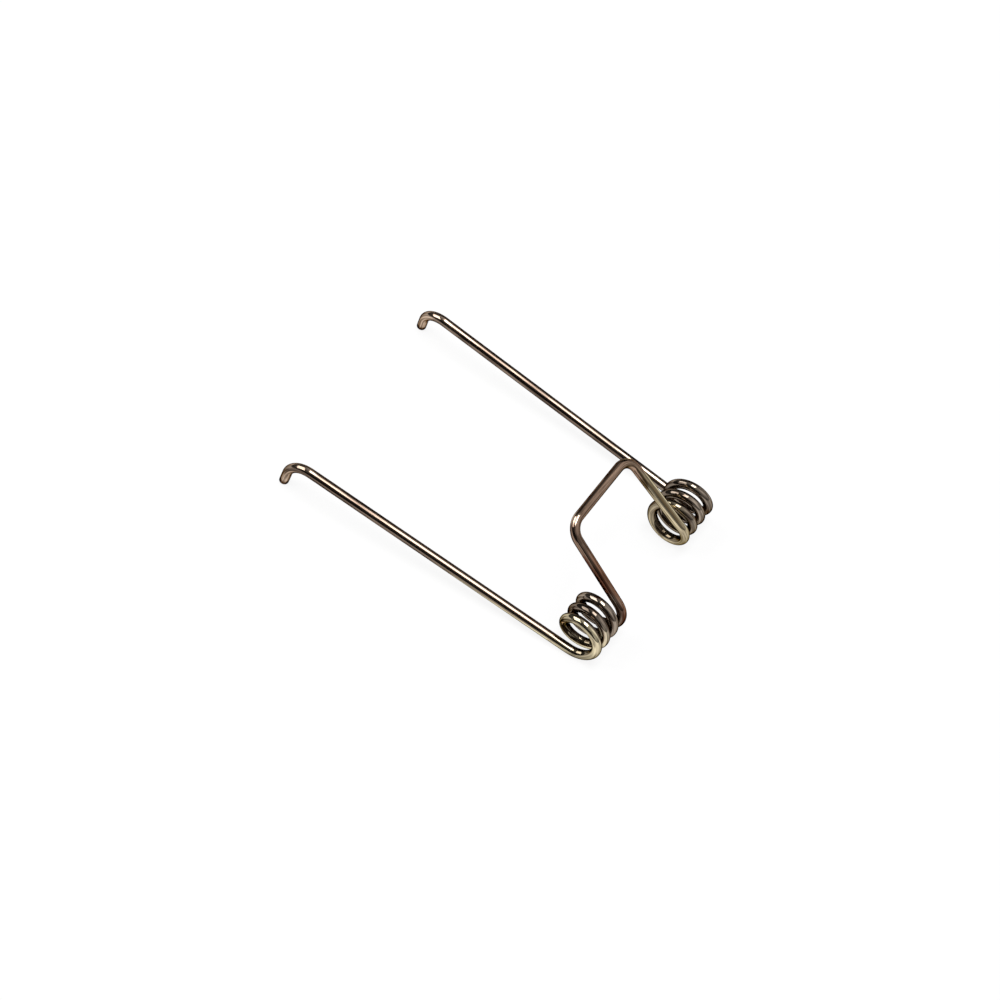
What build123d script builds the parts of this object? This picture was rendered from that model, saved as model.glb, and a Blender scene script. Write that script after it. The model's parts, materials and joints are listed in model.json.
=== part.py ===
from build123d import *
import os
from math import asin, atan, atan2, degrees, hypot, pi

os.makedirs("parts", exist_ok=True)

# Double torsion spring, bent and wound cold from one length of round wire.
# Two open coils lie on one axis and mirror each other. The inner end of each coil runs up
# into an arm of a U-shaped bridge. The outer end runs out as a long straight leg, and each
# leg ends in a short hook that points down.
#
# The frame: X runs along the coils' axis, and the spring mirrors about X = 0. Y runs from
# the coils towards the hooks, and Z is up. The origin is on the coils' axis, midway between
# them. The spring lies as it comes to rest on a level floor, on the undersides of its coils
# and the ends of its hooks.

# Driving dimensions, in millimetres and degrees
wire_diameter = 1.5

coil_bore = 4.75            # inside the turns
turn_gap = 0.7              # clear space between one turn and the next
full_turns = 3              # whole turns, before the part turn that leads to the bridge
free_angle = 35.7           # between a leg and an arm of the bridge, with no load

arm_length = 13.7           # from the coil to the corner that the bridge's bend rounds off
arm_lean = 3.2              # each arm leans in towards the other
bridge_width = 15.3         # between those corners
bridge_bend_radius = 1.8    # inside the bend

leg_length = 48.4           # from the coil to the corner that the hook's bend rounds off
leg_splay = 1.8             # each leg runs away from the other
hook_length = 5.5           # from that corner to the cut end
hook_turn = 87.5            # turn from the leg down into the hook
hook_splay = 4.1            # each hook leans away from the other
hook_bend_radius = 2.6      # inside the bend

lead_bend_radius = 8.0      # centreline of the slight bends between a coil and its straights
end_break = 0.12            # broken edge round each cut end

# Worked out from the driving dimensions
wire_radius = wire_diameter / 2
coil_radius = coil_bore / 2 + wire_radius
coil_outer_radius = coil_radius + wire_radius
pitch = wire_diameter + turn_gap
coil_length = pitch * (full_turns + (180 - free_angle) / 360)
helix_angle = degrees(atan(pitch / (2 * pi * coil_radius)))

# The centreline of the right half is laid out in the frame that it is wound in: the coil's
# axis is the X axis, its outer end is at X = 0, and the leg is level. The turns start on
# the coil's underside and run inwards.
with BuildLine() as coil_line:
    coil = Helix(pitch, coil_length, coil_radius, direction=(-1, 0, 0))

# The leg carries on from the outer end. A slight bend in the level plane takes out the
# helix angle, down to the splay.
with BuildLine(Plane.XY.offset(-coil_radius)) as leg_lead_line:
    leg_lead = JernArc(coil @ 0, -(coil % 0), lead_bend_radius, helix_angle - leg_splay)

leg_heading = leg_lead % 1
leg_axis = Axis((0, 0, 0), leg_heading)
hook_side = leg_heading.cross(Vector(0, 0, -1)).rotate(leg_axis, -hook_splay)
hook_heading = leg_heading.rotate(Axis((0, 0, 0), hook_side), hook_turn)
hook_corner = leg_lead @ 1 + leg_heading * leg_length
with BuildLine() as leg_line:
    leg = FilletPolyline(
        leg_lead @ 1,
        hook_corner,
        hook_corner + hook_heading * hook_length,
        radius=hook_bend_radius + wire_radius,
    )

# The arm carries on from the inner end, in the plane that touches the coil there. The same
# kind of bend leaves the arm's lean.
arm_plane = Plane(origin=coil @ 1, x_dir=(1, 0, 0), z_dir=(coil % 1).cross(Vector(1, 0, 0)))
with BuildLine(arm_plane) as arm_lead_line:
    arm_lead = JernArc(coil @ 1, coil % 1, lead_bend_radius, helix_angle - arm_lean)

bridge_corner = arm_lead @ 1 + (arm_lead % 1) * arm_length
bridge_middle = bridge_corner - Vector(bridge_width / 2, 0, 0)
with BuildLine() as bridge_line:
    FilletPolyline(
        arm_lead @ 1,
        bridge_corner,
        bridge_middle,
        radius=bridge_bend_radius + wire_radius,
    )

half_path = Wire(
    leg_line.edges()
    + leg_lead_line.edges()
    + coil_line.edges()
    + arm_lead_line.edges()
    + bridge_line.edges()
)

# One half of the wire, from the hook's cut end to the middle of the crossbar
with BuildPart() as half_spring:
    with BuildSketch(Plane(origin=leg @ 1, z_dir=-(leg % 1))):
        Circle(wire_radius)
    sweep(path=half_path)
    cut_end = half_spring.faces().filter_by(GeomType.PLANE).sort_by_distance(leg @ 1)[0]
    chamfer(cut_end.edges(), end_break)

# The floor runs under the coils and through the near edge of the hook's cut end. The tilt
# turns that line level.
across_end = Vector(0, -hook_heading.Z, hook_heading.Y).normalized()
foot = (leg @ 1) - across_end * (wire_radius - end_break)
tilt = degrees(atan2(-foot.Z, foot.Y) - asin(coil_outer_radius / hypot(foot.Y, foot.Z)))

# The whole wire, as it lies. Its two halves meet in the middle of the crossbar.
with BuildPart() as spring_wire:
    with Locations((-bridge_middle.X, 0, 0)):
        add(half_spring.part, rotation=(tilt, 0, 0))
    mirror(about=Plane.YZ)

spring_wire.part.label = "spring_wire"
export_step(spring_wire.part, "parts/spring_wire.step")

wire_length = 2 * half_path.length
print(f"wire length {wire_length:.2f} mm, tilt at rest {tilt:.2f} degrees")
print(f"volume {spring_wire.part.volume:.2f} mm3")
print(f"section times length {wire_length * pi * wire_radius**2:.2f} mm3")
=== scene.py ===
import json
from math import asin, atan, cos, hypot, pi, radians, sin, tan

import bmesh
import bpy
from bpy.props import FloatProperty, FloatVectorProperty, IntProperty, PointerProperty
from mathutils import Matrix, Quaternion, Vector


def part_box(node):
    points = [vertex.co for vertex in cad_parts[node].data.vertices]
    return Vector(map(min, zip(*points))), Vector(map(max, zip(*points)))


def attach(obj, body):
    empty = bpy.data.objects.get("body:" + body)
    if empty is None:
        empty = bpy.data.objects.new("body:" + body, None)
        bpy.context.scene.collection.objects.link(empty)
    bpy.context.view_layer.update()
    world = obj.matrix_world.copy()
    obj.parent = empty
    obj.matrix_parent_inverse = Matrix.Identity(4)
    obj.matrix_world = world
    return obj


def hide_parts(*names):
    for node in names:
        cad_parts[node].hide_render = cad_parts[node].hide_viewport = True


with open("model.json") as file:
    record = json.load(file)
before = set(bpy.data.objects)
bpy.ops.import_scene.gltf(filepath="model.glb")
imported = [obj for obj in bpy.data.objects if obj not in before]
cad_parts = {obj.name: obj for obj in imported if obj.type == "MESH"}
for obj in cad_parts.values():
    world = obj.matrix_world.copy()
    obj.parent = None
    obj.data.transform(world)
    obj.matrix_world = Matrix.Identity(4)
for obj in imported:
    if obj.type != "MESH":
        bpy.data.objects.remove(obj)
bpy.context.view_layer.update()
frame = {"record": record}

# A double torsion spring of round, tempered wire. Two coils on one axis carry a U-shaped bridge
# between them, and a long leg with a hook at its end runs out from each.
# Lengths are in metres and angles in radians. X is the coils' axis, Y runs from the coils to
# the hooks, and Z is up.

bl_info = {
    "name": "Double Torsion Spring",
    "version": (1, 0, 0),
    "blender": (4, 5, 0),
    "location": "3D View > Sidebar > Spring",
    "description": "Forms, finishes and lights a double torsion spring of round wire",
    "category": "Add Mesh",
}

MM = 0.001

SPRING_NODE = "spring_wire"
SPRING_BODY = "root"

COIL_AXIS = Vector((1, 0, 0))
UPRIGHT = Vector((0, 0, 1))

# Rings of faces in the broken edge of a cut end, and how near two points of the halves are
# when they are joined
BREAK_SEGMENTS = 3
JOIN_DISTANCE = 0.01 * MM

# Every point of the wire keeps its place on the straight wire, before it was bent: two numbers
# across the section, and the length from the middle of the crossbar. The finish follows that.
# Across the section, X points inwards in the coils and Y away from the spring's middle.
STRAIGHT_WIRE = "straight_wire"

# Where the temper colours lie along the wire, from the left hook's end to the right one's. Each
# place is a share of the wire's half length, from the middle of the crossbar. The two colours are
# those of the wire's left side and its right side, seen from behind the coils.
TEMPER_COLOURS = (
    (-1.0, "tan", "tan"),
    (-0.96, "tan", "tan"),
    (-0.93, "brown", "brown"),
    (-0.8, "brown", "brown"),
    (-0.68, "pale_straw", "brown"),
    (-0.5, "pale_straw", "umber"),
    (-0.42, "umber", "umber"),
    (-0.2, "umber", "umber"),
    # On the left arm, the russet left side is partly temper colour, partly painted shade.
    (-0.13, "russet", "rust"),
    (-0.06, "russet", "rust"),
    (-0.035, "copper", "copper"),
    (0.03, "copper", "copper"),
    (0.05, "olive", "copper"),
    (0.08, "olive", "straw"),
    (0.11, "straw", "straw"),
    (0.16, "straw", "straw"),
    (0.24, "straw", "olive"),
    (0.34, "umber", "umber"),
    (0.62, "umber", "umber"),
    (0.7, "brown", "brown"),
    (0.93, "brown", "brown"),
    (0.96, "tan", "tan"),
    (1.0, "tan", "tan"),
)
# Where the two colours stand in each row
LEFT_COLOUR = 1
RIGHT_COLOUR = 2

# The left side's colour gives way to the right side's between these two shares of the wire's
# radius. In the coils that seam lies further right.
SIDE_BLEND = (-0.6, -0.1)
COIL_SEAM_SHIFT = 0.4

# Marks in the steel: their size across the wire and along it, and how finely they break up
PATCHES = (1.6 * MM, 7 * MM, 3)
SPECKS = (0.45 * MM, 3 * MM, 3)
BANDS = (0.24 * MM, 7 * MM, 2)
STREAKS = (0.07 * MM, 9 * MM, 2)

# Between which two values of its pattern each kind of mark comes in
DRIFT_RANGE = (0.3, 0.7)
SHADE_RANGE = (0.4, 0.7)
SPECK_RANGE = (0.56, 0.74)
BLOTCH_RANGE = (0.46, 0.64)
BAND_RANGE = (0.38, 0.62)
STREAK_RANGE = (0.3, 0.7)
ROUGH_RANGE = (0.5, 0.74)

# How dark and how light the bands and the streaks make the steel
BAND_TONES = (0.55, 1.3)
STREAK_TONES = (0.75, 1.15)

# Stretches of the wire that have a look of their own. Each comes in between the first two
# places and fades out between the last two, measured from the middle of the crossbar. The left
# half's places are negative, and the coils' stand for both halves.
COILS = (19 * MM, 23 * MM, 86 * MM, 90 * MM)
RIGHT_ARM = (9 * MM, 13 * MM, 19 * MM, 23 * MM)
LEFT_LEG = (-125 * MM, -117 * MM, -94 * MM, -88 * MM)
# The left bend carries a painted highlight.
LEFT_BEND_PAINTED_HIGHLIGHT = (-7.0 * MM, -6.3 * MM, -5.7 * MM, -5.1 * MM)

# Painted light and shade on one side of such a stretch: two shares of the wire's radius, and how
# strong it is at the first of them and at the second. Painted shade lies inside the coils and in a
# stripe down the right arm, a painted reflection on the right arm's outer side and along the left
# leg's lower edge, and a painted highlight on the left bend's outside.
COIL_INSIDE_PAINTED_SHADE = (0.1, 0.8, 0.0, 0.75)
ARM_PAINTED_SHADE_STRIPE = (0.2, 0.36, 0.9, 0.0)
ARM_PAINTED_SHADE_MIDDLE = -0.27
ARM_OUTER_PAINTED_REFLECTION = (0.0, 0.3, 0.0, 0.85)
LEG_BROWN_BESIDE_PAINTED_REFLECTION = (-1.0, -0.93, 0.0, 0.95)
BEND_PAINTED_HIGHLIGHT = (0.25, 0.55, 0.0, 0.85)

# Painted contact shade darkens each end, where the hooks rest on the floor, from this far
# before its cut, in full from the second place on
END_PAINTED_SHADE = (1.3 * MM, 0.4 * MM)
END_PAINTED_SHADE_STRENGTH = 0.85

# How much rougher each of these is than the plain steel, or smoother where it is negative
STREAK_ROUGHNESS = (-0.03, 0.06)
SPECK_ROUGHNESS = 0.06
CUT_ROUGHNESS = 0.15
COIL_ROUGHNESS = -0.03

STEEL_EDGE_TINT = (0.02, 0.015, 0.01, 1)

# The Mix node's sockets for colours, which share their names with those for numbers
FIRST_COLOUR_SOCKET = 6
SECOND_COLOUR_SOCKET = 7
MIXED_COLOUR_SOCKET = 2

# The lamps: azimuth and elevation, and the width and height of the face
LAMPS = {
    "overhead": (radians(90), radians(86), 1.4, 0.68),
    "window": (radians(-17), radians(42), 1.7, 1.15),
}
LAMP_DISTANCE = 2.0

# The black cards: azimuth, width and height
CARDS = {
    "front_card": (radians(-97), 1.0, 0.82),
    "side_card": (radians(78), 0.6, 0.6),
}
CARD_DISTANCE = 0.8
CARD_BLACK = (0.03, 0.03, 0.03, 1)

# Lighter patches of the room: azimuth and elevation of the middle, the cosines of the angles
# from it at which a patch ends and is full, and how many times the room's brightness it adds
ROOM_PATCHES = (
    (radians(140), radians(5), 0.2, 0.95, 3.4),
    (radians(125), radians(66), 0.55, 0.95, 6.5),
    (radians(-145), radians(40), 0.72, 0.97, 4.5),
    (radians(165), radians(33), 0.8, 0.98, 5.5),
)

FLOOR_RADIUS = 8.0
FLOOR_SIDES = 96
PAPER_COLOUR = (0.9, 0.9, 0.9, 1)
WHITE = (1, 1, 1, 1)
# How much of the floor is plain white to the camera and to shiny things. The rest shows shadow.
PLAIN_WHITE_SHARE = 0.86

SENSOR_WIDTH = 36.0
NEAREST_SEEN = 10 * MM
FURTHEST_SEEN = 20.0


def hook_pin_radius():
    """The radius of the hooks' round ends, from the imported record."""
    mounts = frame["record"]["mounts"]
    hook = next(mount for mount in mounts if mount["name"] == "hook_right")
    return hook["dims"]["r_mm"] * MM


class SpringSizes(bpy.types.PropertyGroup):
    """Sizes of the wire, its coils and its bends."""

    wire_radius: FloatProperty(
        name="Wire radius",
        description="Half the thickness of the wire",
        default=hook_pin_radius(),
        unit="LENGTH",
    )
    coil_bore: FloatProperty(
        name="Coil bore",
        description="Clear diameter inside the turns",
        default=4.75 * MM,
        unit="LENGTH",
    )
    turn_gap: FloatProperty(
        name="Turn gap",
        description="Clear space between one turn and the next",
        default=0.7 * MM,
        unit="LENGTH",
    )
    full_turns: IntProperty(
        name="Full turns",
        description="Whole turns of each coil, before the part turn that leads to the bridge",
        default=3,
    )
    free_angle: FloatProperty(
        name="Free angle",
        description="Angle between a leg and an arm of the bridge, with no load",
        default=radians(35.7),
        subtype="ANGLE",
    )
    lead_bend_radius: FloatProperty(
        name="Lead bend radius",
        description="Centreline radius of the slight bends between a coil and its straights",
        default=8.0 * MM,
        unit="LENGTH",
    )
    arm_length: FloatProperty(
        name="Arm length",
        description="From the coil to the corner that the bridge's bend rounds off",
        default=13.7 * MM,
        unit="LENGTH",
    )
    arm_lean: FloatProperty(
        name="Arm lean",
        description="Each arm of the bridge leans in towards the other by this angle",
        default=radians(3.2),
        subtype="ANGLE",
    )
    bridge_width: FloatProperty(
        name="Bridge width",
        description="Between the corners that the bridge's bends round off",
        default=15.3 * MM,
        unit="LENGTH",
    )
    bridge_bend_radius: FloatProperty(
        name="Bridge bend radius",
        description="Inside radius of the bends at the ends of the crossbar",
        default=1.8 * MM,
        unit="LENGTH",
    )
    leg_length: FloatProperty(
        name="Leg length",
        description="From the coil to the corner that the hook's bend rounds off",
        default=48.4 * MM,
        unit="LENGTH",
    )
    leg_splay: FloatProperty(
        name="Leg splay",
        description="Each leg runs away from the other by this angle",
        default=radians(1.8),
        subtype="ANGLE",
    )
    hook_length: FloatProperty(
        name="Hook length",
        description="From the rounded corner to the cut end",
        default=5.5 * MM,
        unit="LENGTH",
    )
    hook_turn: FloatProperty(
        name="Hook turn",
        description="Turn from the leg down into the hook",
        default=radians(87.5),
        subtype="ANGLE",
    )
    hook_splay: FloatProperty(
        name="Hook splay",
        description="Each hook leans away from the other by this angle",
        default=radians(4.1),
        subtype="ANGLE",
    )
    hook_bend_radius: FloatProperty(
        name="Hook bend radius",
        description="Inside radius of the bend from leg to hook",
        default=2.6 * MM,
        unit="LENGTH",
    )
    end_break: FloatProperty(
        name="End break",
        description="Broken edge round each cut end",
        default=0.12 * MM,
        unit="LENGTH",
    )
    section_sides: IntProperty(
        name="Section sides",
        description="Faces round the wire",
        default=56,
    )
    turn_steps: IntProperty(
        name="Turn steps",
        description="Rings of faces in a whole turn of a coil or bend",
        default=96,
    )
    straight_step: FloatProperty(
        name="Straight step",
        description="Length of the faces on the straights",
        default=1.0 * MM,
        unit="LENGTH",
    )


class SpringFinish(bpy.types.PropertyGroup):
    """Colours and marks of the steel."""

    brown: FloatVectorProperty(
        name="Brown",
        description="Temper colour of the legs",
        default=(0.21, 0.155, 0.12),
        subtype="COLOR",
        size=3,
    )
    umber: FloatVectorProperty(
        name="Umber",
        description="Temper colour of most of the coils' turns",
        default=(0.335, 0.276, 0.22),
        subtype="COLOR",
        size=3,
    )
    rust: FloatVectorProperty(
        name="Rust",
        description="Temper colour of the left arm's right side",
        default=(0.33, 0.175, 0.11),
        subtype="COLOR",
        size=3,
    )
    # Russet is partly temper colour and partly painted shade, darker on the left arm's left side.
    russet: FloatVectorProperty(
        name="Russet",
        description="Darker red on the left arm's left side",
        default=(0.15, 0.058, 0.034),
        subtype="COLOR",
        size=3,
    )
    copper: FloatVectorProperty(
        name="Copper",
        description="Temper colour of the crossbar",
        default=(0.35, 0.235, 0.168),
        subtype="COLOR",
        size=3,
    )
    # Olive is the bend's temper colour. As a stripe down the right arm it is painted shade.
    olive: FloatVectorProperty(
        name="Olive",
        description="Temper colour of the bend above the right arm, and of a stripe down the arm",
        default=(0.14, 0.095, 0.046),
        subtype="COLOR",
        size=3,
    )
    straw: FloatVectorProperty(
        name="Straw",
        description="Temper colour of the right arm and of the turn that it runs into",
        default=(0.65, 0.55, 0.365),
        subtype="COLOR",
        size=3,
    )
    # On the right arm's outer side and along the left leg's lower edge, pale straw is a painted
    # reflection.
    pale_straw: FloatVectorProperty(
        name="Pale straw",
        description="Lightest temper colour, where the left leg leaves its coil and on the right "
        "arm's outer side",
        default=(0.85, 0.74, 0.5),
        subtype="COLOR",
        size=3,
    )
    # Tan is the hooks' temper colour. The tan spot on the left bend is a painted highlight.
    tan: FloatVectorProperty(
        name="Tan",
        description="Temper colour of the hooks, and of a rubbed spot on the left bend",
        default=(0.58, 0.44, 0.335),
        subtype="COLOR",
        size=3,
    )
    # In specks, patches and blotches this colour is the steel's own oxide. Inside the coils and at
    # the ends it is painted shade.
    scale_and_shade_colour: FloatVectorProperty(
        name="Scale",
        description="Dark oxide, left in specks and patches, inside the coils and at the ends",
        default=(0.052, 0.03, 0.02),
        subtype="COLOR",
        size=3,
    )
    bare_colour: FloatVectorProperty(
        name="Bare steel",
        description="Colour of the steel where it was cut",
        default=(0.42, 0.4, 0.38),
        subtype="COLOR",
        size=3,
    )
    colour_drift: FloatProperty(
        name="Colour drift",
        description="How far the temper colours wander along the wire, as a share of its length",
        default=0.03,
        subtype="FACTOR",
    )
    shade_strength: FloatProperty(
        name="Shade strength",
        description="How strongly large patches of scale darken the steel",
        default=0.45,
        subtype="FACTOR",
    )
    speck_strength: FloatProperty(
        name="Speck strength",
        description="How strongly specks of scale darken the steel",
        default=0.7,
        subtype="FACTOR",
    )
    blotch_strength: FloatProperty(
        name="Blotch strength",
        description="How strongly blotches of scale darken the coils",
        default=0.55,
        subtype="FACTOR",
    )
    roughness: FloatProperty(
        name="Roughness",
        description="Roughness of the steel between its marks",
        default=0.09,
        subtype="FACTOR",
    )
    line_depth: FloatProperty(
        name="Line depth",
        description="Depth of the fine lines that drawing left along the wire",
        default=0.001 * MM,
        unit="LENGTH",
    )


class SpringStudio(bpy.types.PropertyGroup):
    """Camera and light."""

    camera_aim: FloatVectorProperty(
        name="Camera aim",
        description="Point in the middle of the picture",
        default=(-2.899 * MM, 21.913 * MM, -0.175 * MM),
        subtype="TRANSLATION",
        size=3,
    )
    camera_azimuth: FloatProperty(
        name="Camera azimuth",
        description="Zero looks along Y, and a quarter turn looks along minus X",
        default=radians(-67.79),
        subtype="ANGLE",
    )
    camera_elevation: FloatProperty(
        name="Camera elevation",
        description="Angle of the camera above the horizon",
        default=radians(56.72),
        subtype="ANGLE",
    )
    camera_roll: FloatProperty(
        name="Camera roll",
        description="Turn of the camera about its own line of sight",
        default=radians(13.81),
        subtype="ANGLE",
    )
    camera_distance: FloatProperty(
        name="Camera distance",
        description="From the camera to the point that it aims at",
        default=460.5 * MM,
        unit="LENGTH",
    )
    camera_lens: FloatProperty(
        name="Camera lens",
        description="Focal length, in millimetres on a sensor of 36",
        default=113.1,
    )
    overhead_brightness: FloatProperty(
        name="Overhead brightness",
        description="How bright the face of the overhead lamp is, where 1 is a white card",
        default=8.4,
    )
    window_brightness: FloatProperty(
        name="Window brightness",
        description="How bright the face of the lamp beyond the hooks is",
        default=3.7,
    )
    room_brightness: FloatProperty(
        name="Room brightness",
        description="How bright the room is on its darker side",
        default=0.075,
    )


class WireFormer:
    """Feeds and bends the leading ring of a tube, as a wire former does with a wire."""

    def __init__(self, shell, layer, sizes, ring, place, heading, sense):
        self.shell = shell
        self.layer = layer
        self.sizes = sizes
        self.ring = ring
        self.place = Vector(place)
        self.heading = Vector(heading).normalized()
        self.sense = sense
        self.fed = 0.0

    def take(self, made, length):
        """Makes new verts and edges the leading ring, and notes how far along the wire they are."""
        self.fed += length
        verts = [item for item in made if isinstance(item, bmesh.types.BMVert)]
        leading = set(verts)
        self.ring = [
            item for item in made
            if isinstance(item, bmesh.types.BMEdge) and leading.issuperset(item.verts)
        ]
        for vert in verts:
            across, up, _ = vert[self.layer]
            vert[self.layer] = (across, up, self.sense * self.fed)
        return verts

    def feed(self, length):
        """Feeds the wire straight on."""
        count = max(1, round(length / self.sizes.straight_step))
        for _ in range(count):
            made = bmesh.ops.extrude_edge_only(self.shell, edges=self.ring)["geom"]
            verts = self.take(made, length / count)
            bmesh.ops.translate(self.shell, verts=verts, vec=self.heading * length / count)
        self.place += self.heading * length

    def bend(self, axis, turn, radius):
        """Bends the wire round a pin. The radius is that of its centreline."""
        centre = self.place + axis.cross(self.heading) * radius
        self.wind(centre, axis, turn, 0.0)

    def wind(self, centre, axis, turn, advance):
        """Winds the wire round an axis, while it advances along it."""
        count = max(2, round(turn / (2 * pi) * self.sizes.turn_steps))
        slide = axis * advance / count
        radius = (self.place - centre).cross(axis).length
        length = hypot(radius * turn, advance) / count
        for _ in range(count):
            verts = {vert for edge in self.ring for vert in edge.verts}
            made = bmesh.ops.spin(
                self.shell,
                geom=list(verts) + self.ring,
                cent=centre,
                axis=axis,
                dvec=slide,
                angle=turn / count,
                steps=1,
                use_merge=False,
                use_duplicate=False,
            )["geom_last"]
            self.take(made, length)
        turning = Quaternion(axis, turn)
        self.heading = turning @ self.heading
        self.place = centre + turning @ (self.place - centre) + axis * advance

    def cut(self):
        """Closes the end with a flat face and breaks its edge."""
        face = bmesh.ops.contextual_create(self.shell, geom=self.ring)["faces"][0]
        bmesh.ops.bevel(
            self.shell,
            geom=list(face.edges),
            offset=self.sizes.end_break,
            affect="EDGES",
            segments=BREAK_SEGMENTS,
            profile=0.5,
            material=-1,
            clamp_overlap=True,
        )


def bend_tangent(radius, turn):
    """How much of each straight the bend at a corner takes."""
    return radius * tan(turn / 2)


def form_bridge_half(former, sizes, helix_angle):
    """Runs from the coil's inner end up the arm and along half the crossbar."""
    lead_axis = former.heading.cross(COIL_AXIS).normalized()
    former.bend(lead_axis, helix_angle - sizes.arm_lean, sizes.lead_bend_radius)
    corner_axis = former.heading.cross(-COIL_AXIS).normalized()
    corner_turn = former.heading.angle(-COIL_AXIS)
    corner_radius = sizes.bridge_bend_radius + sizes.wire_radius
    taken = bend_tangent(corner_radius, corner_turn)
    former.feed(sizes.arm_length - taken)
    former.bend(corner_axis, corner_turn, corner_radius)
    former.feed(sizes.bridge_width / 2 - taken)


def form_leg(former, sizes, helix_angle):
    """Runs from the coil's outer end along the leg and down into the hook."""
    former.bend(UPRIGHT, helix_angle - sizes.leg_splay, sizes.lead_bend_radius)
    hook_axis = former.heading.cross(-UPRIGHT)
    hook_axis.rotate(Quaternion(former.heading, -sizes.hook_splay))
    hook_radius = sizes.hook_bend_radius + sizes.wire_radius
    taken = bend_tangent(hook_radius, sizes.hook_turn)
    former.feed(sizes.leg_length - taken)
    former.bend(hook_axis, sizes.hook_turn, hook_radius)
    former.feed(sizes.hook_length - taken)
    former.cut()


def tilt_at_rest(sizes, hook_end, hook_heading):
    """The turn about the coils' axis that brings the hooks' ends to the floor under the coils."""
    outer_radius = sizes.coil_bore / 2 + 2 * sizes.wire_radius
    across_end = Vector((0, -hook_heading.z, hook_heading.y)).normalized()
    foot = hook_end - across_end * (sizes.wire_radius - sizes.end_break)
    reach = Vector((foot.y, -foot.z))
    return atan(reach.y / reach.x) - asin(outer_radius / reach.length)


def form_half_wire(shell, sizes):
    """Forms the right half of the wire, starting from the coil's outer end, and lays it at rest."""
    layer = shell.verts.layers.float_vector.new(STRAIGHT_WIRE)
    coil_radius = sizes.coil_bore / 2 + sizes.wire_radius
    pitch = 2 * sizes.wire_radius + sizes.turn_gap
    helix_angle = atan(pitch / (2 * pi * coil_radius))
    coil_turn = 2 * pi * sizes.full_turns + pi - sizes.free_angle
    coil_length = coil_turn / (2 * pi) * pitch

    start = Vector((0, 0, -coil_radius))
    outward = Vector((sin(helix_angle), cos(helix_angle), 0))
    section = outward.to_track_quat("Z", "X").to_matrix().to_4x4()
    ring_verts = bmesh.ops.create_circle(
        shell, segments=sizes.section_sides, radius=sizes.wire_radius, cap_ends=False
    )["verts"]
    for vert in ring_verts:
        vert[layer] = vert.co
    bmesh.ops.transform(shell, matrix=Matrix.Translation(start) @ section, verts=ring_verts)
    ring = list(shell.edges)

    inner = WireFormer(shell, layer, sizes, ring, start, -outward, -1)
    inner.wind(Vector(), -COIL_AXIS, coil_turn, coil_length)
    form_bridge_half(inner, sizes, helix_angle)
    outer = WireFormer(shell, layer, sizes, ring, start, outward, 1)
    form_leg(outer, sizes, helix_angle)

    tilt = Matrix.Rotation(tilt_at_rest(sizes, outer.place, outer.heading), 4, "X")
    to_middle = Matrix.Translation((-inner.place.x, 0, 0))
    bmesh.ops.transform(shell, matrix=to_middle @ tilt, verts=shell.verts[:])
    for vert in shell.verts:
        across, up, along = vert[layer]
        vert[layer] = (across, up, along + inner.fed)
    return layer, inner.fed + outer.fed


def mirror_half(shell, layer):
    """Adds the left half and joins the two in the middle of the crossbar."""
    half = shell.verts[:] + shell.edges[:] + shell.faces[:]
    bmesh.ops.mirror(shell, geom=half, axis="X", merge_dist=JOIN_DISTANCE)
    for vert in shell.verts:
        if vert.co.x < 0:
            across, up, along = vert[layer]
            vert[layer] = (across, up, -along)


def mesh_of(shell, name):
    """The finished shell as a mesh."""
    mesh = bpy.data.meshes.new(name)
    shell.to_mesh(mesh)
    shell.free()
    return mesh


def wire_mesh(sizes):
    """The whole wire as one closed mesh, and half its length."""
    shell = bmesh.new()
    layer, half_length = form_half_wire(shell, sizes)
    mirror_half(shell, layer)
    bmesh.ops.recalc_face_normals(shell, faces=shell.faces[:])
    # Only the two cut ends have more than four sides, and they stay flat.
    for face in shell.faces:
        face.smooth = len(face.verts) == 4
    return mesh_of(shell, "bent_wire"), half_length


class NodeBench:
    """Puts nodes into a tree and links them."""

    def __init__(self, tree):
        self.tree = tree
        tree.nodes.clear()

    def add(self, kind, inputs=None, **settings):
        """A new node. Each input is a value, or an output socket to link from."""
        node = self.tree.nodes.new(kind)
        for name, value in settings.items():
            setattr(node, name, value)
        for name, value in (inputs or {}).items():
            if isinstance(value, bpy.types.NodeSocket):
                self.tree.links.new(value, node.inputs[name])
            else:
                node.inputs[name].default_value = value
        return node

    def reckon(self, operation, first, second=0.0):
        """One or two numbers put through a Math node."""
        node = self.add("ShaderNodeMath", {0: first, 1: second}, operation=operation)
        return node.outputs["Value"]

    def ranged(self, value, low, high, first=0.0, last=1.0, curve="SMOOTHSTEP"):
        """Goes from first to last while the value goes from low to high."""
        return self.add(
            "ShaderNodeMapRange",
            {"Value": value, "From Min": low, "From Max": high, "To Min": first, "To Max": last},
            interpolation_type=curve,
        ).outputs["Result"]

    def mixed(self, factor, first, second, blend="MIX"):
        """Two colours mixed, with the result kept within one."""
        return self.add(
            "ShaderNodeMix",
            {"Factor": factor, FIRST_COLOUR_SOCKET: first, SECOND_COLOUR_SOCKET: second},
            data_type="RGBA",
            blend_type=blend,
            clamp_result=True,
        ).outputs[MIXED_COLOUR_SOCKET]


def node_material(name):
    """A new material and the bench for its nodes."""
    material = bpy.data.materials.new(name)
    material.use_nodes = True
    return material, NodeBench(material.node_tree)


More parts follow.
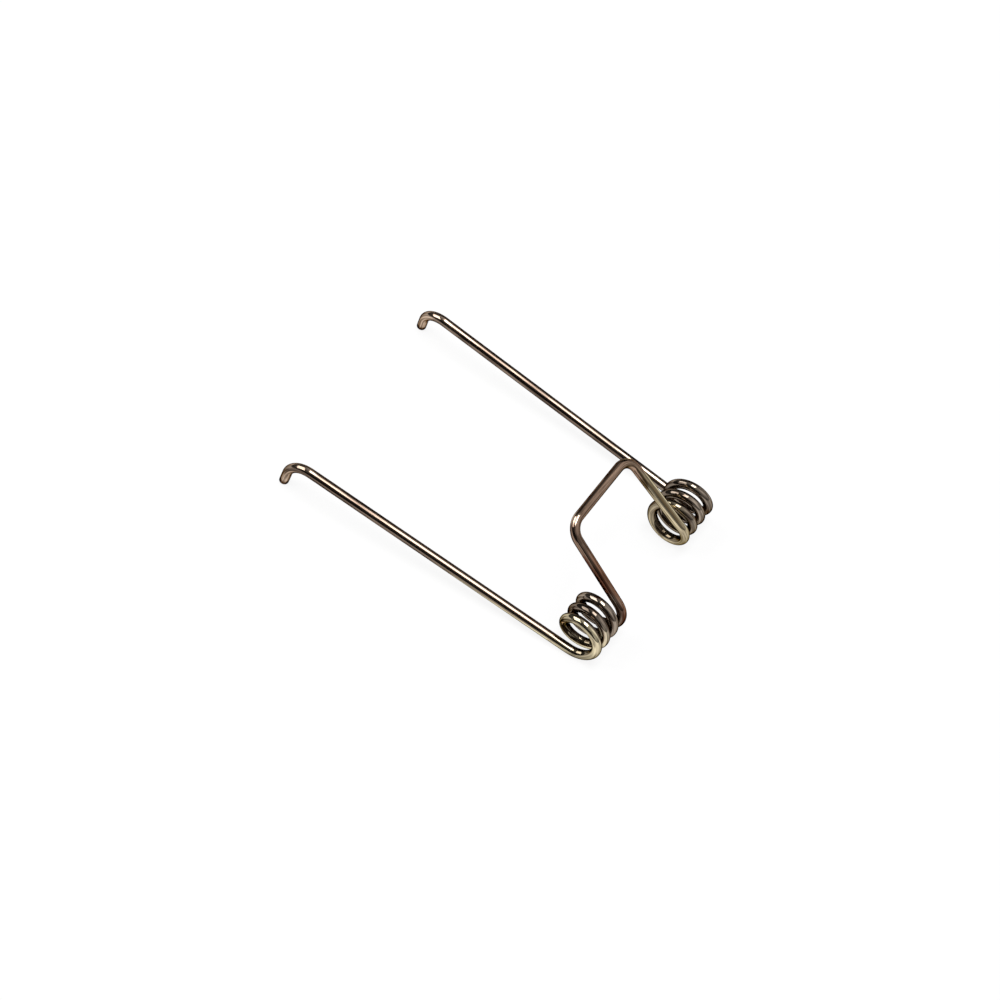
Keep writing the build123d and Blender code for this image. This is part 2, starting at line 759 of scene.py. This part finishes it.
class WireFinish:
    """Works out the steel's look from where each point lies on the straight wire."""

    def __init__(self, bench, finish, sizes, half_length):
        self.bench = bench
        self.finish = finish
        self.radius = sizes.wire_radius
        self.half_length = half_length
        straight = bench.add("ShaderNodeAttribute", attribute_name=STRAIGHT_WIRE)
        self.straight = straight.outputs["Vector"]
        parts = bench.add("ShaderNodeSeparateXYZ", {"Vector": self.straight}).outputs
        self.inward = parts["X"]
        self.outboard = parts["Y"]
        self.place = parts["Z"]
        self.from_middle = bench.reckon("ABSOLUTE", self.place)
        self.rightward = bench.reckon("MULTIPLY", self.outboard, bench.reckon("SIGN", self.place))
        self.in_coils = self.within(COILS, self.from_middle)
        self.patches = self.marks(*PATCHES)
        self.specks = self.marks(*SPECKS)
        self.bands = self.marks(*BANDS)
        self.streaks = self.marks(*STREAKS)
        cut = half_length - sizes.end_break
        self.on_cut = bench.ranged(self.from_middle, cut, half_length - sizes.end_break / 2)

    def marks(self, across, along, detail):
        """An uneven pattern of marks of this size, stretched along the wire."""
        grain = self.bench.add(
            "ShaderNodeVectorMath",
            {0: self.straight, 1: (1 / across, 1 / across, 1 / along)},
            operation="MULTIPLY",
        ).outputs["Vector"]
        pattern = self.bench.add(
            "ShaderNodeTexNoise", {"Vector": grain, "Scale": 1.0, "Detail": detail}
        )
        return pattern.outputs["Fac"]

    def within(self, stretch, place):
        """One on this stretch of the wire, and nothing off it."""
        begins, full, fades, ends = stretch
        return self.bench.reckon(
            "MULTIPLY",
            self.bench.ranged(place, begins, full),
            self.bench.ranged(place, fades, ends, 1.0, 0.0),
        )

    def beside(self, across, side):
        """How strong a colour laid on one side is at this place across the wire."""
        low, high, first, last = side
        return self.bench.ranged(across, low * self.radius, high * self.radius, first, last)

    def laid(self, tone, strength, colour):
        """The tone with a colour laid over it."""
        return self.bench.mixed(strength, tone, (*colour, 1))

    def temper_ramp(self, share, column):
        """The temper colours of one side of the wire, at this share of its length."""
        colours = self.bench.add("ShaderNodeValToRGB", {"Fac": share})
        ramp = colours.color_ramp
        ramp.interpolation = "EASE"
        for row in TEMPER_COLOURS[1:-1]:
            ramp.elements.new((row[0] + 1) / 2)
        for stop, row in zip(ramp.elements, TEMPER_COLOURS):
            stop.color = (*getattr(self.finish, row[column]), 1)
        return colours.outputs["Color"]

    def tempered(self):
        """The temper colours of both sides."""
        bench = self.bench
        drift = self.finish.colour_drift
        wander = bench.ranged(self.patches, *DRIFT_RANGE, -drift, drift, "LINEAR")
        even = bench.ranged(self.place, -self.half_length, self.half_length, curve="LINEAR")
        share = bench.reckon("ADD", even, wander)
        shift = bench.reckon("MULTIPLY", self.in_coils, COIL_SEAM_SHIFT * self.radius)
        from_seam = bench.reckon("SUBTRACT", self.rightward, shift)
        on_left = self.beside(from_seam, (*SIDE_BLEND, 1.0, 0.0))
        right, left = (self.temper_ramp(share, side) for side in (RIGHT_COLOUR, LEFT_COLOUR))
        return bench.mixed(on_left, right, left)

    def scaled(self, tone):
        """The tone under patches, specks and blotches of dark oxide."""
        bench = self.bench
        finish = self.finish
        shade = bench.ranged(self.patches, *SHADE_RANGE, 0.0, finish.shade_strength)
        tone = self.laid(tone, shade, finish.scale_and_shade_colour)
        oxide = bench.ranged(self.specks, *SPECK_RANGE, 0.0, finish.speck_strength)
        tone = self.laid(tone, oxide, finish.scale_and_shade_colour)
        blotches = bench.ranged(self.specks, *BLOTCH_RANGE, 0.0, finish.blotch_strength)
        blotches = bench.reckon("MULTIPLY", self.in_coils, blotches)
        return self.laid(tone, blotches, finish.scale_and_shade_colour)

    def drawn(self, tone):
        """The tone with the lighter and darker lines that drawing leaves along the wire."""
        lines = self.bench.reckon(
            "MULTIPLY",
            self.bench.ranged(self.bands, *BAND_RANGE, *BAND_TONES),
            self.bench.ranged(self.streaks, *STREAK_RANGE, *STREAK_TONES, "LINEAR"),
        )
        return self.bench.mixed(1.0, tone, lines, "MULTIPLY")

    def painted_light_and_shade(self, tone):
        """The tone with painted light and shade laid on one side of the wire."""
        reckon = self.bench.reckon
        finish = self.finish
        on_arm = self.within(RIGHT_ARM, self.place)
        from_shade_stripe = reckon("SUBTRACT", self.outboard, ARM_PAINTED_SHADE_MIDDLE * self.radius)
        from_shade_stripe = reckon("ABSOLUTE", from_shade_stripe)
        for stretch, side, colour in (
            # Painted shade on the inner side of the coils' turns
            (self.in_coils, self.beside(self.inward, COIL_INSIDE_PAINTED_SHADE), finish.scale_and_shade_colour),
            # Painted shade in an olive stripe down the right arm
            (on_arm, self.beside(from_shade_stripe, ARM_PAINTED_SHADE_STRIPE), finish.olive),
            # A painted reflection in pale straw on the right arm's outer side
            (on_arm, self.beside(self.outboard, ARM_OUTER_PAINTED_REFLECTION), finish.pale_straw),
            # Brown, the leg's temper colour, over the left leg, except along its lower edge, where
            # pale straw stays as a painted reflection
            (
                self.within(LEFT_LEG, self.place),
                self.beside(self.rightward, LEG_BROWN_BESIDE_PAINTED_REFLECTION),
                finish.brown,
            ),
            # A painted highlight in tan on the outside of the left bend
            (
                self.within(LEFT_BEND_PAINTED_HIGHLIGHT, self.place),
                self.beside(self.outboard, BEND_PAINTED_HIGHLIGHT),
                finish.tan,
            ),
        ):
            tone = self.laid(tone, reckon("MULTIPLY", stretch, side), colour)
        return tone

    def ended(self, tone):
        """The tone with painted contact shade at its ends, and bare cuts."""
        begins, full = (self.half_length - length for length in END_PAINTED_SHADE)
        end_shade = self.bench.ranged(self.from_middle, begins, full, 0.0, END_PAINTED_SHADE_STRENGTH)
        tone = self.laid(tone, end_shade, self.finish.scale_and_shade_colour)
        return self.laid(tone, self.on_cut, self.finish.bare_colour)

    def roughness(self):
        """The roughness, streaked along the wire and higher in the specks and on the cuts."""
        bench = self.bench
        smooth, rough = (self.finish.roughness + more for more in STREAK_ROUGHNESS)
        roughness = bench.ranged(self.streaks, *STREAK_RANGE, smooth, rough, "LINEAR")
        for more in (
            bench.ranged(self.specks, *ROUGH_RANGE, 0.0, SPECK_ROUGHNESS),
            bench.reckon("MULTIPLY", self.on_cut, CUT_ROUGHNESS),
            bench.reckon("MULTIPLY", self.in_coils, COIL_ROUGHNESS),
        ):
            roughness = bench.reckon("ADD", roughness, more)
        return roughness

    def lines(self):
        """The shallow relief of the drawing lines."""
        return self.bench.add(
            "ShaderNodeBump",
            {"Strength": 1.0, "Distance": self.finish.line_depth, "Height": self.streaks},
        ).outputs["Normal"]


def spring_steel(finish, sizes, half_length):
    """Tempered steel wire: colours that drift along it, oxide marks, painted light and shade,
    drawing lines, bare cuts.
    """
    material, bench = node_material("tempered_wire")
    wire = WireFinish(bench, finish, sizes, half_length)
    steel = bench.add(
        "ShaderNodeBsdfPrincipled",
        {
            "Base Color": wire.ended(wire.painted_light_and_shade(wire.drawn(wire.scaled(wire.tempered())))),
            "Metallic": 1.0,
            "Specular Tint": STEEL_EDGE_TINT,
            "Roughness": wire.roughness(),
            "Normal": wire.lines(),
        },
    )
    bench.add("ShaderNodeOutputMaterial", {"Surface": steel.outputs["BSDF"]})
    return material


class SPRING_OT_wire(bpy.types.Operator):
    """Form the spring's wire and give it its finish"""

    bl_idname = "spring.wire"
    bl_label = "Form Spring Wire"

    def execute(self, context):
        sizes = context.scene.spring_sizes
        mesh, half_length = wire_mesh(sizes)
        mesh.materials.append(spring_steel(context.scene.spring_finish, sizes, half_length))
        wire = bpy.data.objects.new("bent_wire", mesh)
        context.scene.collection.objects.link(wire)
        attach(wire, SPRING_BODY)
        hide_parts(SPRING_NODE)
        return {"FINISHED"}


def direction(azimuth, elevation):
    """The direction from the object at this azimuth, from Y round to X, and this elevation."""
    return Vector((sin(azimuth) * cos(elevation), cos(azimuth) * cos(elevation), sin(elevation)))


def floor_level():
    """The height of the spring's lowest point."""
    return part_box(SPRING_NODE)[0].z


def soft_lamp(scene, name, brightness):
    """A rectangular lamp that faces the object, with its width along X as nearly as it can be."""
    azimuth, elevation, width, height = LAMPS[name]
    lamp = bpy.data.lights.new(name, "AREA")
    lamp.shape = "RECTANGLE"
    lamp.size = width
    lamp.size_y = height
    lamp.energy = brightness * pi * width * height
    towards = direction(azimuth, elevation)
    side = (COIL_AXIS - towards * towards.x).normalized()
    fixture = bpy.data.objects.new(name, lamp)
    fixture.matrix_world = (
        Matrix.Translation(towards * LAMP_DISTANCE)
        @ Matrix((side, towards.cross(side), towards)).transposed().to_4x4()
    )
    fixture.visible_camera = False
    scene.collection.objects.link(fixture)


def paint_room(scene, brightness):
    """A dim room, with lighter patches behind the coils and overhead."""
    world = bpy.data.worlds.new("room")
    world.use_nodes = True
    scene.world = world
    bench = NodeBench(world.node_tree)
    view = bench.add("ShaderNodeTexCoord").outputs["Generated"]
    level = brightness
    for azimuth, elevation, ends, full, times in ROOM_PATCHES:
        facing = bench.add(
            "ShaderNodeVectorMath",
            {0: view, 1: direction(azimuth, elevation)},
            operation="DOT_PRODUCT",
        ).outputs["Value"]
        patch = bench.ranged(facing, ends, full, 0.0, times * brightness)
        level = bench.reckon("ADD", patch, level)
    backdrop = bench.add("ShaderNodeBackground", {"Color": WHITE, "Strength": level})
    bench.add("ShaderNodeOutputWorld", {"Surface": backdrop.outputs["Background"]})


def black_card(scene, name):
    """A black card that stands on the floor and faces the object, for dark lines in the steel."""
    azimuth, width, height = CARDS[name]
    shell = bmesh.new()
    corners = bmesh.ops.create_grid(shell, x_segments=1, y_segments=1, size=0.5)["verts"]
    bmesh.ops.scale(shell, verts=corners, vec=(width, height, 1))
    bmesh.ops.translate(shell, verts=corners, vec=(0, height / 2, 0))
    towards = direction(azimuth, 0.0)
    facing = Matrix((UPRIGHT.cross(-towards), UPRIGHT, -towards)).transposed()
    place = Matrix.Translation(towards * CARD_DISTANCE + UPRIGHT * floor_level())
    bmesh.ops.transform(shell, matrix=place @ facing.to_4x4(), verts=corners)
    mesh = mesh_of(shell, name)
    material, bench = node_material(name)
    black = bench.add("ShaderNodeBsdfDiffuse", {"Color": CARD_BLACK})
    bench.add("ShaderNodeOutputMaterial", {"Surface": black.outputs["BSDF"]})
    mesh.materials.append(material)
    card = bpy.data.objects.new(name, mesh)
    card.visible_camera = False
    scene.collection.objects.link(card)


def floor_paper():
    """White paper, which the camera and shiny things see as mostly plain white, with its shadow."""
    material, bench = node_material("white_paper")
    ray = bench.add("ShaderNodeLightPath").outputs
    seen = bench.reckon("MAXIMUM", ray["Is Camera Ray"], ray["Is Glossy Ray"])
    seen = bench.reckon("MAXIMUM", seen, ray["Is Transmission Ray"])
    white_share = bench.reckon("MULTIPLY", seen, PLAIN_WHITE_SHARE)
    paper = bench.add("ShaderNodeBsdfDiffuse", {"Color": PAPER_COLOUR}).outputs["BSDF"]
    white = bench.add("ShaderNodeEmission", {"Color": WHITE, "Strength": 1.0}).outputs["Emission"]
    surface = bench.add("ShaderNodeMixShader", {0: white_share, 1: paper, 2: white})
    bench.add("ShaderNodeOutputMaterial", {"Surface": surface.outputs["Shader"]})
    return material


def lay_floor(scene):
    """A wide round sheet of paper under the spring."""
    shell = bmesh.new()
    bmesh.ops.create_circle(shell, cap_ends=True, segments=FLOOR_SIDES, radius=FLOOR_RADIUS)
    bmesh.ops.translate(shell, verts=shell.verts[:], vec=UPRIGHT * floor_level())
    mesh = mesh_of(shell, "floor")
    mesh.materials.append(floor_paper())
    floor = bpy.data.objects.new("floor", mesh)
    scene.collection.objects.link(floor)


def set_camera(scene, studio):
    """The camera at the photograph's viewing angle."""
    lens = bpy.data.cameras.new("camera")
    lens.type = "PERSP"
    lens.sensor_width = SENSOR_WIDTH
    lens.lens = studio.camera_lens
    lens.clip_start = NEAREST_SEEN
    lens.clip_end = FURTHEST_SEEN
    back = direction(pi - studio.camera_azimuth, studio.camera_elevation)
    camera = bpy.data.objects.new("camera", lens)
    level = back.to_track_quat("Z", "Y")
    turned = level @ Quaternion(UPRIGHT, studio.camera_roll)
    place = Vector(studio.camera_aim) + back * studio.camera_distance
    camera.matrix_world = Matrix.Translation(place) @ turned.to_matrix().to_4x4()
    scene.collection.objects.link(camera)
    scene.camera = camera


class SPRING_OT_stage(bpy.types.Operator):
    """Set out the floor, the lamps, the cards, the room and the camera"""

    bl_idname = "spring.stage"
    bl_label = "Set Spring Stage"

    def execute(self, context):
        scene = context.scene
        studio = scene.spring_studio
        scene.view_settings.view_transform = "Standard"
        lay_floor(scene)
        soft_lamp(scene, "overhead", studio.overhead_brightness)
        soft_lamp(scene, "window", studio.window_brightness)
        for name in CARDS:
            black_card(scene, name)
        paint_room(scene, studio.room_brightness)
        set_camera(scene, studio)
        return {"FINISHED"}


class SPRING_PT_panel(bpy.types.Panel):
    """Sizes, finish and stage of the spring"""

    bl_idname = "SPRING_PT_panel"
    bl_label = "Double Torsion Spring"
    bl_space_type = "VIEW_3D"
    bl_region_type = "UI"
    bl_category = "Spring"

    def draw(self, context):
        scene = context.scene
        for group in (scene.spring_sizes, scene.spring_finish, scene.spring_studio):
            box = self.layout.box()
            for name in group.__annotations__:
                box.prop(group, name)
        self.layout.operator(SPRING_OT_wire.bl_idname)
        self.layout.operator(SPRING_OT_stage.bl_idname)


GROUPS = {
    "spring_sizes": SpringSizes,
    "spring_finish": SpringFinish,
    "spring_studio": SpringStudio,
}
CLASSES = (*GROUPS.values(), SPRING_OT_wire, SPRING_OT_stage, SPRING_PT_panel)


def register():
    for kind in CLASSES:
        bpy.utils.register_class(kind)
    for name, group in GROUPS.items():
        setattr(bpy.types.Scene, name, PointerProperty(type=group))


def unregister():
    for name in GROUPS:
        delattr(bpy.types.Scene, name)
    for kind in reversed(CLASSES):
        bpy.utils.unregister_class(kind)


def main():
    register()
    bpy.ops.spring.wire()
    bpy.ops.spring.stage()


if __name__ == "__main__":
    main()
